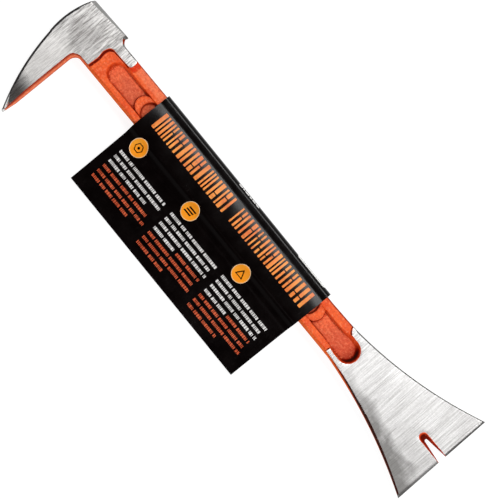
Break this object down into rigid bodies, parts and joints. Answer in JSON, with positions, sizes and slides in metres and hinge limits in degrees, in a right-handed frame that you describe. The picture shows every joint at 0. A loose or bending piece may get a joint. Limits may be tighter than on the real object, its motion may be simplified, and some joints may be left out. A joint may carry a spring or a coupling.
{
  "type": "utility pry bar",
  "caption": "One-piece forged utility pry bar with striking poll, curved pick, I-section shank and flared nail claw, in a sliding folded card sleeve with a hanging flap.",
  "frame": {"origin": "on the ground back face of the head, where the poll's centre line meets the shank's long axis", "axes": "+X along the shank towards the claw, +Y towards the striking face (the pick points to -Y), +Z out of the front face; the bar lies on its back on Z = 0"},
  "size_m": [0.2993, 0.088, 0.0146],
  "materials": {
    "painted_steel": "orange powder coat on the forged surfaces, with the head's and the claw's broad faces ground to bare brushed steel",
    "printed_card": null,
    "adhesive": "thin dried glue layer",
    "label_paper": null
  },
  "bodies": {
    "bar": {"forged_bar": "painted_steel"},
    "sleeve": {"sleeve_wrap": "printed_card", "barcode_label": "label_paper"},
    "flap": {"sleeve_flap": "printed_card", "flap_adhesive": "adhesive"}
  },
  "joints": [
    {"name": "sleeve_slide", "type": "slide", "parent": "bar", "child": "sleeve", "axis": [0.9999, -0.0143, 0], "range_m": [-0.018, 0.02]},
    {"name": "flap_fold", "type": "hinge", "parent": "sleeve", "child": "flap", "pos_m": [0.11444, -0.01894, 0.0076], "axis": [0.9999, -0.0143, 0], "range_deg": [-45, 0]}
  ]
}
